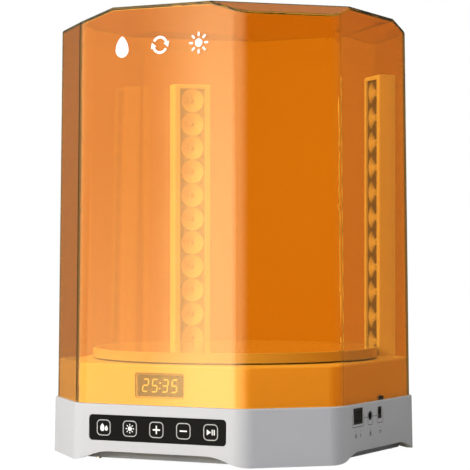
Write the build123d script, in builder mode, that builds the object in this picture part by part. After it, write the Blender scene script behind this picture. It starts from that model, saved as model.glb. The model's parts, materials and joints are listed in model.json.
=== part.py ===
"""Resin wash and cure station: octagonal base, lift-off amber cover, turntable and two lamp columns.

Frame: millimetres, +Z up, front facing -Y, origin at the centre of the footprint on the table.
"""

import os
from math import atan2, cos, radians, sin, sqrt, tan

from build123d import *

os.makedirs("parts", exist_ok=True)

# ---------------------------------------------------------------- driving dimensions
HEIGHT = 430.0  # table to the top of the cover
RIM_Z = 55.0  # top of the grey base, where the cover's rim rests
DECK_Z = 93.0  # top of the white deck inside the cover

COVER_HALF = 155.1  # half the cover's width across its flats, at the rim
COVER_CORNER = 67.8  # what each 45 degree corner takes off a side, at the rim
COVER_WALL = 3.0
COVER_DRAFT = 4.2  # how far each side leans in between the rim and the top
COVER_RADIUS = 24.0  # vertical corners
BEVEL_RUN = 35.2  # how far a corner's top bevel eats along the top edges
BEVEL_DROP = 11.4  # how far it drops at the corner face
TOP_RADIUS = 2.5

BASE_STEP = 2.6  # the base stands this far outside the cover's rim
BASE_FLARE = 1.0  # how much further out it is at the bottom
BASE_WALL = 3.2
BASE_RADIUS = 28.0
WALL_FOOT_Z = 1.0  # the base wall stops just above the table
ARCH_TOP_Z = 10.5
ARCH_FLAT = 50.0  # half length of the arch's flat top
ARCH_HALF = 98.0
ARCH_TOP_EASE = 22.0  # the pulls that shape each end of the arch
ARCH_FOOT_EASE = 25.0

DECK_INSET = 4.0  # deck wall, inside the cover's outer face
DECK_WALL = 2.4
DECK_PLATE = 2.5
DECK_RADIUS = COVER_RADIUS - DECK_INSET
SHELF_TOP_Z = 52.4
SHELF_THICK = 2.4

PAN_Z = 3.0
PAN_PLATE = 2.5
PAN_INSET = 10.0
PAN_WALL = 2.4
PAN_RIM_Z = 16.0

PANEL_SIZE = (146.4, 24.2)
PANEL_RADIUS = 3.8
PANEL_Z = 32.7
BUTTON_PITCH = 28.6
WINDOW_SIZE = (53.0, 24.0)
WINDOW_RADIUS = 3.0
WINDOW_Z = 73.2

SCREW_R = 1.4  # shank of the self-tapping M3 screws, and their pilot holes
HEAD_R = 2.75
HEAD_H = 2.0
SCREW_HOLE_R = 1.7

TABLE_R = 141.0
TABLE_TOP_Z = 104.0
TABLE_SKIRT_Z = 94.4
TABLE_PLATE = 2.0
MIRROR_THICK = 0.8

COLUMN_FRONT = 145.6  # from the turntable's axis to a column's face
COLUMN_HALF = 20.5
COLUMN_DEPTH = 16.0
COLUMN_TOP_Z = 379.2
COLUMN_WALL = 1.8
LED_COUNT = 11
LED_PITCH = 25.5
LED_BOTTOM_Z = 94.4
BOWL_R = 12.4

INSET_CORNER = 2 - sqrt(2)  # how a 45 degree corner shortens as an octagon shrinks

face_half = COVER_HALF + BASE_STEP + 0.2  # the base wall at the height of its ports
wall_inside = COVER_HALF + BASE_STEP - BASE_WALL
deck_half = COVER_HALF - DECK_INSET
pan_top = PAN_Z + PAN_PLATE


def octagon(outset, radius):
    """Sketches the station's rounded octagon, standing outset outside the cover's rim."""
    half = COVER_HALF + outset
    flat = half - (COVER_CORNER + outset * INSET_CORNER)
    corners = [(half, -flat), (half, flat), (flat, half), (-flat, half)]
    corners += [(-half, flat), (-half, -flat), (-flat, -half), (flat, -half)]
    Polygon(*corners, align=None)
    fillet(vertices(), radius)


def octagon_prism(outset, radius, low, high, mode=Mode.ADD):
    """Extrudes the octagon from low to high in the current part."""
    with BuildSketch(Plane.XY.offset(low)) as outline:
        octagon(outset, radius)
    extrude(outline.sketch, amount=high - low, mode=mode)


def save(builder, name):
    """Labels a finished piece and writes its STEP file."""
    builder.part.label = name
    export_step(builder.part, f"parts/{name}.step")


def screws(places, head_z, length):
    """Pan-head screws pointing up, with the underside of each head at head_z."""
    with Locations(*[(x, y, head_z) for x, y in places]):
        Cylinder(HEAD_R, HEAD_H, align=(Align.CENTER, Align.CENTER, Align.MAX))
        Cylinder(SCREW_R, length, align=(Align.CENTER, Align.CENTER, Align.MIN))


# ---------------------------------------------------------------- cover
def cover_block(inset):
    """The cover's outer shape shrunk by inset: a drafted octagon with bevelled top corners."""
    top_outset = -COVER_DRAFT - inset
    top_z = HEIGHT - inset
    outer_top_half = COVER_HALF - COVER_DRAFT
    corner_x = outer_top_half - (COVER_CORNER - COVER_DRAFT * INSET_CORNER)
    bevel_inner = (outer_top_half + corner_x - BEVEL_RUN) / sqrt(2)
    corner_face = (outer_top_half + corner_x) / sqrt(2)
    slope = atan2(BEVEL_DROP, corner_face - bevel_inner)
    with BuildPart() as block:
        with BuildSketch(Plane.XY.offset(RIM_Z)):
            octagon(-inset, COVER_RADIUS - inset)
        with BuildSketch(Plane.XY.offset(top_z)):
            octagon(top_outset, COVER_RADIUS - inset)
        loft(ruled=True)
        for corner in range(4):
            around = radians(45 + 90 * corner)
            normal = Vector(cos(around) * sin(slope), sin(around) * sin(slope), cos(slope))
            start = Vector(cos(around) * bevel_inner, sin(around) * bevel_inner, HEIGHT)
            split(bisect_by=Plane(start - normal * inset, z_dir=normal), keep=Keep.BOTTOM)
        lids = faces().filter_by(lambda f: f.normal_at().Z > 0.5)
        fillet(lids.edges(), TOP_RADIUS if inset == 0 else TOP_RADIUS - 1.5)
    return block.part


cover_outside = cover_block(0)
cover_inside = cover_block(COVER_WALL)
TAG_Y = 11.3
TAG_WIDTH = 9.4
TAG_HEIGHT = 3.9
TAG_GAP = 0.1

with BuildPart() as cover:
    add(cover_outside)
    add(cover_inside, mode=Mode.SUBTRACT)
    with Locations((COVER_HALF, TAG_Y, RIM_Z)):
        Box(
            4 * COVER_WALL,
            TAG_WIDTH,
            TAG_HEIGHT,
            align=(Align.CENTER, Align.CENTER, Align.MIN),
            mode=Mode.SUBTRACT,
        )
save(cover, "cover")

with BuildPart() as cover_magnet_tag:
    with Locations((COVER_HALF - COVER_WALL + TAG_GAP, TAG_Y, RIM_Z + TAG_GAP)):
        Box(
            COVER_WALL - 2 * TAG_GAP,
            TAG_WIDTH,
            TAG_HEIGHT - TAG_GAP,
            align=(Align.MIN, Align.CENTER, Align.MIN),
        )
save(cover_magnet_tag, "cover_magnet_tag")

# ---------------------------------------------------------------- grey base housing
WALL_BOSS = (76.0, 136.0)
WALL_BOSS_R = 5.5
RIB_BOTTOM_Z = 18.0
wall_boss_places = [(sx * WALL_BOSS[0], sy * WALL_BOSS[1]) for sx in (1, -1) for sy in (1, -1)]
wall_boss_places += [(sx * WALL_BOSS[1], sy * WALL_BOSS[0]) for sx in (1, -1) for sy in (1, -1)]
PILOT_DEPTH = 14.0

PANEL_POCKET = 1.35
PANEL_GAP = 0.2
panel_back = -face_half + PANEL_POCKET

SWITCH_Y, SWITCH_Z = -52.0, 43.7
SWITCH_BEZEL = (21.0, 15.0)
SWITCH_BODY = (19.0, 12.2)
SWITCH_POCKET = 1.2
SOCKET_Y, SOCKET_Z, SOCKET_R = -23.4, 42.2, 4.4
INLET_Z = 43.6
INLET_SIZE = (8.8, 11.2)
PORT_GAP = 0.1

TOUCH_POST_X = 66.0
touch_post_depth = 4.0

with BuildPart() as base_housing:
    with BuildSketch(Plane.XY.offset(WALL_FOOT_Z)):
        octagon(BASE_STEP + BASE_FLARE, BASE_RADIUS)
    with BuildSketch(Plane.XY.offset(RIM_Z)):
        octagon(BASE_STEP, BASE_RADIUS)
    loft(ruled=True)
    fillet(faces().sort_by(Axis.Z)[-1].edges(), 1.4)
    octagon_prism(
        BASE_STEP - BASE_WALL, BASE_RADIUS - BASE_WALL, 0, SHELF_TOP_Z - SHELF_THICK, Mode.SUBTRACT
    )
    octagon_prism(
        BASE_STEP - BASE_WALL, BASE_RADIUS - BASE_WALL, SHELF_TOP_Z, RIM_Z, Mode.SUBTRACT
    )
    octagon_prism(-DECK_INSET - DECK_WALL, 20, 0, RIM_Z, Mode.SUBTRACT)
    with Locations(*[(x, y, pan_top) for x, y in wall_boss_places]):
        Cylinder(
            WALL_BOSS_R,
            SHELF_TOP_Z - SHELF_THICK - pan_top,
            align=(Align.CENTER, Align.CENTER, Align.MIN),
        )
    for quarter in range(4):
        with BuildSketch(Plane.XY.offset(RIB_BOTTOM_Z).rotated((0, 0, 90 * quarter))):
            with Locations((-WALL_BOSS[0], -WALL_BOSS[1]), (WALL_BOSS[0], -WALL_BOSS[1])):
                Rectangle(3, wall_inside - WALL_BOSS[1] + 0.5, align=(Align.CENTER, Align.MAX))
        extrude(amount=SHELF_TOP_Z - SHELF_THICK - RIB_BOTTOM_Z)
    with Locations(*[(x, y, pan_top) for x, y in wall_boss_places]):
        Cylinder(
            SCREW_R,
            PILOT_DEPTH,
            align=(Align.CENTER, Align.CENTER, Align.MIN),
            mode=Mode.SUBTRACT,
        )
    # arches under the four sides
    for side_plane in (Plane.XZ, Plane.YZ):
        with BuildSketch(side_plane):
            with BuildLine():
                Line((-ARCH_FLAT, ARCH_TOP_Z), (ARCH_FLAT, ARCH_TOP_Z))
                Bezier(
                    (ARCH_FLAT, ARCH_TOP_Z),
                    (ARCH_FLAT + ARCH_TOP_EASE, ARCH_TOP_Z),
                    (ARCH_FLAT + ARCH_FOOT_EASE, WALL_FOOT_Z),
                    (ARCH_HALF, WALL_FOOT_Z - 0.1),
                )
                Polyline((ARCH_HALF, WALL_FOOT_Z - 0.1), (ARCH_HALF, -1), (-ARCH_HALF, -1))
                Line((-ARCH_HALF, -1), (-ARCH_HALF, WALL_FOOT_Z - 0.1))
                Bezier(
                    (-ARCH_HALF, WALL_FOOT_Z - 0.1),
                    (-ARCH_FLAT - ARCH_FOOT_EASE, WALL_FOOT_Z),
                    (-ARCH_FLAT - ARCH_TOP_EASE, ARCH_TOP_Z),
                    (-ARCH_FLAT, ARCH_TOP_Z),
                )
            make_face()
        extrude(amount=2 * face_half, both=True, mode=Mode.SUBTRACT)
    # posts that carry the touch board
    with Locations(
        *[Location((x, -wall_inside, PANEL_Z), (-90, 0, 0)) for x in (-TOUCH_POST_X, TOUCH_POST_X)]
    ):
        Cylinder(3, touch_post_depth, align=(Align.CENTER, Align.CENTER, Align.MIN))
        Cylinder(
            1.0, touch_post_depth, align=(Align.CENTER, Align.CENTER, Align.MIN), mode=Mode.SUBTRACT
        )
    # pocket for the control panel
    with BuildSketch(Plane.XZ.offset(face_half + 1)):
        with Locations((0, PANEL_Z)):
            RectangleRounded(PANEL_SIZE[0] + PANEL_GAP, PANEL_SIZE[1] + PANEL_GAP, PANEL_RADIUS + 0.1)
    extrude(amount=-PANEL_POCKET - 1, mode=Mode.SUBTRACT)
    # openings for the power switch, lamp socket and power inlet on the right
    with Locations((face_half, SWITCH_Y, SWITCH_Z)):
        Box(2 * SWITCH_POCKET, SWITCH_BEZEL[0] + 0.2, SWITCH_BEZEL[1] + 0.2, mode=Mode.SUBTRACT)
        Box(4 * BASE_WALL, SWITCH_BODY[0] + 0.2, SWITCH_BODY[1] + 0.2, mode=Mode.SUBTRACT)
    with Locations(Location((face_half, SOCKET_Y, SOCKET_Z), (0, 90, 0))):
        Cylinder(SOCKET_R + PORT_GAP, 4 * BASE_WALL, mode=Mode.SUBTRACT)
    with Locations((face_half, 0, INLET_Z)):
        Box(
            4 * BASE_WALL,
            INLET_SIZE[0] + 2 * PORT_GAP,
            INLET_SIZE[1] + 2 * PORT_GAP,
            mode=Mode.SUBTRACT,
        )
save(base_housing, "base_housing")

# ---------------------------------------------------------------- white deck
DECK_BOSS = 88.0
deck_boss_places = [(sx * DECK_BOSS, sy * DECK_BOSS) for sx in (1, -1) for sy in (1, -1)]
PILLAR = (44.0, 18.0)
pillar_places = [(sx * PILLAR[0], sy * PILLAR[1]) for sx in (1, -1) for sy in (1, -1)]
BRACKET_Z = 62.0
BRACKET_THICK = 2.5
pillar_bottom = BRACKET_Z + BRACKET_THICK
RECESS_R = 55.3
RECESS_DEPTH = 0.8
deck_under = DECK_Z - DECK_PLATE
DISPLAY_POST_X = 33.0
display_post_depth = 7.8
deck_inside = deck_half - DECK_WALL
COLUMN_SCREW = (13.0, 157.5)  # across and out from the axis, in a column's own frame
WIRE_HOLE = (0.0, 156.5)
column_frames = {
    "left": Plane.XY.rotated((0, 0, 45)),
    "right": Plane.XY.rotated((0, 0, -45)),
}

with BuildPart() as deck:
    octagon_prism(-DECK_INSET, DECK_RADIUS, SHELF_TOP_Z, DECK_Z)
    fillet(faces().sort_by(Axis.Z)[-1].edges(), 2.5)
    octagon_prism(-1.0, BASE_RADIUS - BASE_WALL, SHELF_TOP_Z, RIM_Z)
    octagon_prism(
        -DECK_INSET - DECK_WALL, DECK_RADIUS - DECK_WALL, SHELF_TOP_Z, deck_under, Mode.SUBTRACT
    )
    with Locations((0, 0, DECK_Z)):
        Cylinder(
            RECESS_R, RECESS_DEPTH, align=(Align.CENTER, Align.CENTER, Align.MAX), mode=Mode.SUBTRACT
        )
    with Locations(*[(x, y, deck_under) for x, y in deck_boss_places]):
        Cylinder(5, deck_under - pan_top, align=(Align.CENTER, Align.CENTER, Align.MAX))
    with Locations(*[(x, y, deck_under) for x, y in pillar_places]):
        Cylinder(4, deck_under - pillar_bottom, align=(Align.CENTER, Align.CENTER, Align.MAX))
    with Locations(*[(x, y, pan_top) for x, y in deck_boss_places]):
        Cylinder(
            SCREW_R, PILOT_DEPTH, align=(Align.CENTER, Align.CENTER, Align.MIN), mode=Mode.SUBTRACT
        )
    with Locations(*[(x, y, pillar_bottom) for x, y in pillar_places]):
        Cylinder(SCREW_R, 10, align=(Align.CENTER, Align.CENTER, Align.MIN), mode=Mode.SUBTRACT)
    # display window: a stepped opening in the front wall, and the posts behind it
    with BuildSketch(Plane.XZ.offset(deck_half)):
        with Locations((0, WINDOW_Z)):
            RectangleRounded(WINDOW_SIZE[0] + 0.2, WINDOW_SIZE[1] + 0.2, WINDOW_RADIUS + 0.1)
    extrude(amount=-1.5, mode=Mode.SUBTRACT)
    with BuildSketch(Plane.XZ.offset(deck_half)):
        with Locations((0, WINDOW_Z)):
            RectangleRounded(WINDOW_SIZE[0] - 3.6, WINDOW_SIZE[1] - 3.6, 1.5)
    extrude(amount=-2 * DECK_WALL, mode=Mode.SUBTRACT)
    with Locations(
        *[Location((x, -deck_inside, WINDOW_Z), (-90, 0, 0)) for x in (-DISPLAY_POST_X, DISPLAY_POST_X)]
    ):
        Cylinder(2.6, display_post_depth, align=(Align.CENTER, Align.CENTER, Align.MIN))
        Cylinder(
            1.0, display_post_depth, align=(Align.CENTER, Align.CENTER, Align.MIN), mode=Mode.SUBTRACT
        )
    # screw and wire holes under each lamp column
    for frame in column_frames.values():
        with BuildSketch(frame.offset(DECK_Z)):
            with Locations((-COLUMN_SCREW[0], COLUMN_SCREW[1]), COLUMN_SCREW):
                Circle(SCREW_HOLE_R)
            with Locations(WIRE_HOLE):
                Circle(3.5)
        extrude(amount=-2 * DECK_PLATE, mode=Mode.SUBTRACT)
save(deck, "deck")

# ---------------------------------------------------------------- bottom pan, feet and screws
BOARD_CENTRE = (0.0, 88.0)
BOARD_SIZE = (120.0, 76.0)
BOARD_Z = 14.0
BOARD_THICK = 1.6
standoff_places = [
    (BOARD_CENTRE[0] + sx * (BOARD_SIZE[0] / 2 - 5), BOARD_CENTRE[1] + sy * (BOARD_SIZE[1] / 2 - 5))
    for sx in (1, -1)
    for sy in (1, -1)
]
FOOT_PLACE = 104.0
FOOT_R = 11.0
foot_places = [(sx * FOOT_PLACE, sy * FOOT_PLACE) for sx in (1, -1) for sy in (1, -1)]
VENT_PITCH = 8.0

with BuildPart() as bottom_pan:
    octagon_prism(-PAN_INSET, 20, PAN_Z, pan_top)
    octagon_prism(-PAN_INSET, 20, pan_top, PAN_RIM_Z)
    octagon_prism(-PAN_INSET - PAN_WALL, 20 - PAN_WALL, pan_top, PAN_RIM_Z, Mode.SUBTRACT)
    with Locations(*[(x, y, pan_top) for x, y in standoff_places]):
        Cylinder(3.5, BOARD_Z - pan_top, align=(Align.CENTER, Align.CENTER, Align.MIN))
    with Locations(*[(x, y, BOARD_Z) for x, y in standoff_places]):
        Cylinder(1.0, 8, align=(Align.CENTER, Align.CENTER, Align.MAX), mode=Mode.SUBTRACT)
    with Locations(*[(x, y, PAN_Z) for x, y in wall_boss_places + deck_boss_places]):
        Cylinder(
            SCREW_HOLE_R, PAN_PLATE, align=(Align.CENTER, Align.CENTER, Align.MIN), mode=Mode.SUBTRACT
        )
    with BuildSketch(Plane.XY.offset(PAN_Z)):
        with Locations((0, -60), (0, 0)):
            with GridLocations(VENT_PITCH, 1, 9, 1):
                SlotOverall(40, 3, rotation=90)
    extrude(amount=PAN_PLATE, mode=Mode.SUBTRACT)
save(bottom_pan, "bottom_pan")

with BuildPart() as rubber_feet:
    with Locations(*[(x, y, 0) for x, y in foot_places]):
        Cylinder(FOOT_R, PAN_Z, align=(Align.CENTER, Align.CENTER, Align.MIN))
    fillet(edges().filter_by(GeomType.CIRCLE).group_by(Axis.Z)[0], 0.8)
save(rubber_feet, "rubber_feet")

with BuildPart() as bottom_screws:
    screws(wall_boss_places + deck_boss_places, PAN_Z, PAN_PLATE + 12)
save(bottom_screws, "bottom_screws")

# ---------------------------------------------------------------- control panel and display
with BuildPart() as control_panel:
    with BuildSketch(Plane.XZ.offset(-panel_back)):
        with Locations((0, PANEL_Z)):
            RectangleRounded(*PANEL_SIZE, PANEL_RADIUS)
    extrude(amount=PANEL_POCKET + 0.2)
    fillet(faces().sort_by(Axis.Y)[0].edges(), 0.3)
save(control_panel, "control_panel")

button_x = [BUTTON_PITCH * i for i in range(-2, 3)]
touch_board_back = -wall_inside + touch_post_depth
touch_back = touch_board_back + BOARD_THICK

with BuildPart() as touch_sensors:
    with Locations(*[Location((x, -wall_inside, PANEL_Z), (-90, 0, 0)) for x in button_x]):
        Cylinder(5, touch_post_depth, align=(Align.CENTER, Align.CENTER, Align.MIN))
        Cylinder(
            4, touch_post_depth, align=(Align.CENTER, Align.CENTER, Align.MIN), mode=Mode.SUBTRACT
        )
save(touch_sensors, "touch_sensors")

with BuildPart() as touch_board:
    with BuildSketch(Plane.XZ.offset(-touch_board_back)):
        with Locations((0, PANEL_Z)):
            Rectangle(2 * TOUCH_POST_X + 8, 22)
        with Locations((-TOUCH_POST_X, PANEL_Z), (TOUCH_POST_X, PANEL_Z)):
            Circle(1.2, mode=Mode.SUBTRACT)
    extrude(amount=-BOARD_THICK)
    with Locations((20, touch_back, PANEL_Z)):
        Box(12, 5, 6, align=(Align.CENTER, Align.MIN, Align.CENTER))
save(touch_board, "touch_board")

with BuildPart() as touch_board_screws:
    with Locations(
        *[
            Location((x, touch_back, PANEL_Z), (90, 0, 0))
            for x in (-TOUCH_POST_X, TOUCH_POST_X)
        ]
    ):
        Cylinder(2.0, 1.4, align=(Align.CENTER, Align.CENTER, Align.MAX))
        Cylinder(1.0, BOARD_THICK + 3, align=(Align.CENTER, Align.CENTER, Align.MIN))
save(touch_board_screws, "touch_board_screws")

with BuildPart() as display_window:
    with BuildSketch(Plane.XZ.offset(deck_half - 1.5)):
        with Locations((0, WINDOW_Z)):
            RectangleRounded(*WINDOW_SIZE, WINDOW_RADIUS)
    extrude(amount=1.4)
save(display_window, "display_window")

display_board_front = -deck_inside + display_post_depth
display_back = display_board_front + BOARD_THICK
DISPLAY_BODY = (48.0, 19.0, 7.0)
DISPLAY_BOARD = (74.0, 24.0)

with BuildPart() as display_module:
    with Locations((0, display_board_front, WINDOW_Z)):
        Box(
            DISPLAY_BODY[0],
            DISPLAY_BODY[2],
            DISPLAY_BODY[1],
            align=(Align.CENTER, Align.MAX, Align.CENTER),
        )
    fillet(edges().filter_by(Axis.Y), 0.6)
save(display_module, "display_module")

with BuildPart() as display_board:
    with BuildSketch(Plane.XZ.offset(-display_board_front)):
        with Locations((0, WINDOW_Z)):
            Rectangle(*DISPLAY_BOARD)
        with Locations((-DISPLAY_POST_X, WINDOW_Z), (DISPLAY_POST_X, WINDOW_Z)):
            Circle(1.2, mode=Mode.SUBTRACT)
    extrude(amount=-BOARD_THICK)
    with Locations((-20, display_back, WINDOW_Z)):
        Box(12, 5, 6, align=(Align.CENTER, Align.MIN, Align.CENTER))
save(display_board, "display_board")

with BuildPart() as display_screws:
    with Locations(
        *[
            Location((x, display_back, WINDOW_Z), (90, 0, 0))
            for x in (-DISPLAY_POST_X, DISPLAY_POST_X)
        ]
    ):
        Cylinder(2.0, 1.4, align=(Align.CENTER, Align.CENTER, Align.MAX))
        Cylinder(1.0, BOARD_THICK + 6, align=(Align.CENTER, Align.CENTER, Align.MIN))
save(display_screws, "display_screws")

# ---------------------------------------------------------------- power switch and sockets
SWITCH_DEPTH = 13.5
PIVOT_DEPTH = 4.3  # the rocker's pivot, behind the base's face
ROCKER_TILT = 8.0
ROCKER_HALF = 7.7
ROCKER_HEIGHT = 9.6
pivot_x = face_half - PIVOT_DEPTH
switch_front = face_half + 0.2
switch_seat = face_half - SWITCH_POCKET
switch_tail = switch_seat - SWITCH_DEPTH - 8

with BuildPart() as switch_housing:
    with Locations((switch_seat, SWITCH_Y, SWITCH_Z)):
        Box(
            switch_front - switch_seat,
            *SWITCH_BEZEL,
            align=(Align.MIN, Align.CENTER, Align.CENTER),
        )
        Box(SWITCH_DEPTH, *SWITCH_BODY, align=(Align.MAX, Align.CENTER, Align.CENTER))
    with Locations((switch_front, SWITCH_Y, SWITCH_Z)):
        Box(10.5, 17, 10.4, align=(Align.MAX, Align.CENTER, Align.CENTER), mode=Mode.SUBTRACT)
    with Locations((pivot_x, SWITCH_Y, SWITCH_Z)):
        Cylinder(1.05, 14, mode=Mode.SUBTRACT)
save(switch_housing, "switch_housing")

with BuildPart() as switch_terminals:
    with Locations(*[(switch_seat - SWITCH_DEPTH, SWITCH_Y + y, SWITCH_Z) for y in (-6, 6)]):
        Box(8, 0.8, 4.8, align=(Align.MAX, Align.CENTER, Align.CENTER))
save(switch_terminals, "switch_terminals")

rocker_frame = Plane((pivot_x, SWITCH_Y, SWITCH_Z)).rotated((0, 0, -ROCKER_TILT))
with BuildPart() as power_rocker:
    with BuildSketch(rocker_frame.offset(-ROCKER_HEIGHT / 2)):
        with BuildLine():
            ThreePointArc((3.4, -ROCKER_HALF), (2.5, 0), (3.4, ROCKER_HALF))
            Polyline((3.4, ROCKER_HALF), (-1.2, 6.4), (-3.6, 0), (-1.2, -6.4), (3.4, -ROCKER_HALF))
        make_face()
    extrude(amount=ROCKER_HEIGHT)
    with Locations((pivot_x, SWITCH_Y, SWITCH_Z)):
        Cylinder(1.0, 12)
save(power_rocker, "power_rocker")

with BuildPart() as lamp_socket:
    with Locations(Location((face_half, SOCKET_Y, SOCKET_Z), (0, -90, 0))):
        Cylinder(SOCKET_R, 14, align=(Align.CENTER, Align.CENTER, Align.MIN))
        Cylinder(3.1, 10, align=(Align.CENTER, Align.CENTER, Align.MIN), mode=Mode.SUBTRACT)
    fillet(edges().filter_by(GeomType.CIRCLE).sort_by(Axis.X)[-1], 0.3)
save(lamp_socket, "lamp_socket")

with BuildPart() as lamp_socket_pin:
    with Locations(Location((face_half - 10, SOCKET_Y, SOCKET_Z), (0, 90, 0))):
        Cylinder(1.0, 8, align=(Align.CENTER, Align.CENTER, Align.MIN))
save(lamp_socket_pin, "lamp_socket_pin")

with BuildPart() as lamp_socket_nut:
    with BuildSketch(Plane.YZ.offset(wall_inside)):
        with Locations((SOCKET_Y, SOCKET_Z)):
            RegularPolygon(7, 6)
            Circle(SOCKET_R, mode=Mode.SUBTRACT)
    extrude(amount=-3)
save(lamp_socket_nut, "lamp_socket_nut")

with BuildPart() as power_inlet:
    with Locations((face_half, 0, INLET_Z)):
        Box(14, *INLET_SIZE, align=(Align.MAX, Align.CENTER, Align.CENTER))
    with Locations(Location((face_half, 0, INLET_Z + 1), (0, -90, 0))):
        Cylinder(3.1, 10, align=(Align.CENTER, Align.CENTER, Align.MIN), mode=Mode.SUBTRACT)
save(power_inlet, "power_inlet")

with BuildPart() as power_inlet_pin:
    with Locations(Location((face_half - 10, 0, INLET_Z + 1), (0, 90, 0))):
        Cylinder(1.0, 8, align=(Align.CENTER, Align.CENTER, Align.MIN))
save(power_inlet_pin, "power_inlet_pin")

with BuildPart() as lid_sensor:
    with Locations((deck_inside, TAG_Y, RIM_Z + 4)):
        Box(4, 16, 5, align=(Align.MAX, Align.CENTER, Align.CENTER))
    fillet(edges().filter_by(Axis.Y), 1.0)
save(lid_sensor, "lid_sensor")

# ---------------------------------------------------------------- control board
board_top = BOARD_Z + BOARD_THICK
CONNECTOR_Y = BOARD_CENTRE[1] - 32
connector_x = [16 * i - 40 for i in range(6)]

with BuildPart() as main_board:
    with BuildSketch(Plane.XY.offset(BOARD_Z)):
        with Locations(BOARD_CENTRE):
            RectangleRounded(*BOARD_SIZE, 2)
        with Locations(*standoff_places):
            Circle(1.2, mode=Mode.SUBTRACT)
    extrude(amount=BOARD_THICK)
save(main_board, "main_board")

with BuildPart() as board_screws:
    with Locations(*[(x, y, board_top) for x, y in standoff_places]):
        Cylinder(2.0, 1.4, align=(Align.CENTER, Align.CENTER, Align.MIN))
        Cylinder(1.0, 7, align=(Align.CENTER, Align.CENTER, Align.MAX))
save(board_screws, "board_screws")

with BuildPart() as board_connectors:
    with Locations(*[(x, CONNECTOR_Y, board_top) for x in connector_x]):
        Box(10, 6, 7, align=(Align.CENTER, Align.CENTER, Align.MIN))
        Box(8, 4, 7, align=(Align.CENTER, Align.CENTER, Align.MIN), mode=Mode.SUBTRACT)
        Box(8, 4, 1.5, align=(Align.CENTER, Align.CENTER, Align.MIN))
save(board_connectors, "board_connectors")

with BuildPart() as board_capacitors:
    with Locations(*[(x, BOARD_CENTRE[1] + 22, board_top) for x in (-44, -30)]):
        Cylinder(5, 17, align=(Align.CENTER, Align.CENTER, Align.MIN))
    fillet(edges().filter_by(GeomType.CIRCLE).group_by(Axis.Z)[-1], 0.8)
save(board_capacitors, "board_capacitors")

with BuildPart() as board_heat_sink:
    with Locations((30, BOARD_CENTRE[1] + 20, board_top)):
        Box(34, 20, 3, align=(Align.CENTER, Align.CENTER, Align.MIN))
        with GridLocations(4.5, 1, 8, 1):
            Box(1.2, 20, 18, align=(Align.CENTER, Align.CENTER, Align.MIN))
save(board_heat_sink, "board_heat_sink")

with BuildPart() as board_chips:
    with Locations((-8, BOARD_CENTRE[1], board_top), (-34, BOARD_CENTRE[1] - 4, board_top)):
        Box(10, 10, 1.6, align=(Align.CENTER, Align.CENTER, Align.MIN))
save(board_chips, "board_chips")

with BuildPart() as buzzer:
    with Locations((20, BOARD_CENTRE[1] - 8, board_top)):
        Cylinder(6, 9, align=(Align.CENTER, Align.CENTER, Align.MIN))
        Cylinder(1, 9, align=(Align.CENTER, Align.CENTER, Align.MIN), mode=Mode.SUBTRACT)
save(buzzer, "buzzer")

# ---------------------------------------------------------------- drive: motor and magnet rotor
MOTOR_R = 21.0
MOTOR_LENGTH = 36.0
MOTOR_BOSS_R = 7.0
MOTOR_BOSS = 3.0
SHAFT_R = 2.5
SHAFT_GAP = 0.05
ROTOR_R = 41.0
ROTOR_Z = 79.0
ROTOR_THICK = 5.0
MAGNET_R = 6.0
MAGNET_RING = 32.0
MAGNET_COUNT = 6
motor_screw_places = [(-14.0, 0.0), (14.0, 0.0)]
shaft_bottom = BRACKET_Z - 22

with BuildPart() as motor:
    with Locations((0, 0, BRACKET_Z)):
        Cylinder(MOTOR_R, MOTOR_LENGTH, align=(Align.CENTER, Align.CENTER, Align.MAX))
    fillet(edges().filter_by(GeomType.CIRCLE), 1.5)
    with Locations((0, 0, BRACKET_Z)):
        Cylinder(MOTOR_BOSS_R, MOTOR_BOSS, align=(Align.CENTER, Align.CENTER, Align.MIN))
    with Locations((0, 0, shaft_bottom - 1)):
        Cylinder(
            SHAFT_R + SHAFT_GAP,
            MOTOR_LENGTH,
            align=(Align.CENTER, Align.CENTER, Align.MIN),
            mode=Mode.SUBTRACT,
        )
    with Locations(*[(x, y, BRACKET_Z) for x, y in motor_screw_places]):
        Cylinder(SCREW_R, 8, align=(Align.CENTER, Align.CENTER, Align.MAX), mode=Mode.SUBTRACT)
save(motor, "motor")

with BuildPart() as motor_bracket:
    with BuildSketch(Plane.XY.offset(BRACKET_Z)):
        RectangleRounded(2 * PILLAR[0] + 12, 2 * PILLAR[1] + 12, 5)
        Circle(MOTOR_BOSS_R + 0.2, mode=Mode.SUBTRACT)
        with Locations(*pillar_places, *motor_screw_places):
            Circle(SCREW_HOLE_R, mode=Mode.SUBTRACT)
    extrude(amount=BRACKET_THICK)
save(motor_bracket, "motor_bracket")

with BuildPart() as motor_screws:
    screws(pillar_places, BRACKET_Z, BRACKET_THICK + 8)
    with Locations(*[(x, y, BRACKET_Z + BRACKET_THICK) for x, y in motor_screw_places]):
        Cylinder(HEAD_R, HEAD_H, align=(Align.CENTER, Align.CENTER, Align.MIN))
        Cylinder(
            SCREW_R, BRACKET_THICK + 6, align=(Align.CENTER, Align.CENTER, Align.MAX)
        )
save(motor_screws, "motor_screws")

with BuildPart() as motor_shaft:
    with Locations((0, 0, shaft_bottom)):
        Cylinder(
            SHAFT_R,
            ROTOR_Z + ROTOR_THICK - shaft_bottom,
            align=(Align.CENTER, Align.CENTER, Align.MIN),
        )
save(motor_shaft, "motor_shaft")

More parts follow.
